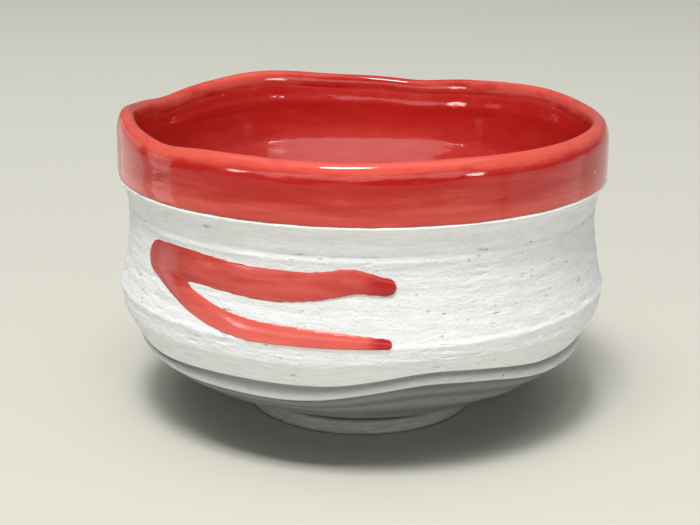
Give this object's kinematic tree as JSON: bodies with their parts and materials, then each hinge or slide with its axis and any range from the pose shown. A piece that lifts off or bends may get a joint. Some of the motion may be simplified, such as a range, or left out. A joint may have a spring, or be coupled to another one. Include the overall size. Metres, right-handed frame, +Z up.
{
  "type": "matcha bowl",
  "caption": "Hand-thrown stoneware tea bowl with a low foot ring, carved ledge, waisted wall, glossy red glaze over the wavy lip and inside, and a folded brush mark.",
  "frame": {"origin": "bottom centre of the bowl, on the plane that the foot ring stands on", "axes": "+Z up along the axis that the bowl was thrown round, -Y towards the front, where the brush mark is"},
  "size_m": [0.1238, 0.1247, 0.0782],
  "materials": {
    "bare_clay": "matte",
    "foot_clay": "matte",
    "inside_glaze": "gloss",
    "band_glaze": "gloss",
    "stroke_glaze": "gloss"
  },
  "bodies": {
    "root": {"clay_body": "bare_clay", "foot_ring": "foot_clay", "liner_glaze": "inside_glaze", "rim_glaze": "band_glaze", "brush_stroke": "stroke_glaze"}
  },
  "joints": []
}
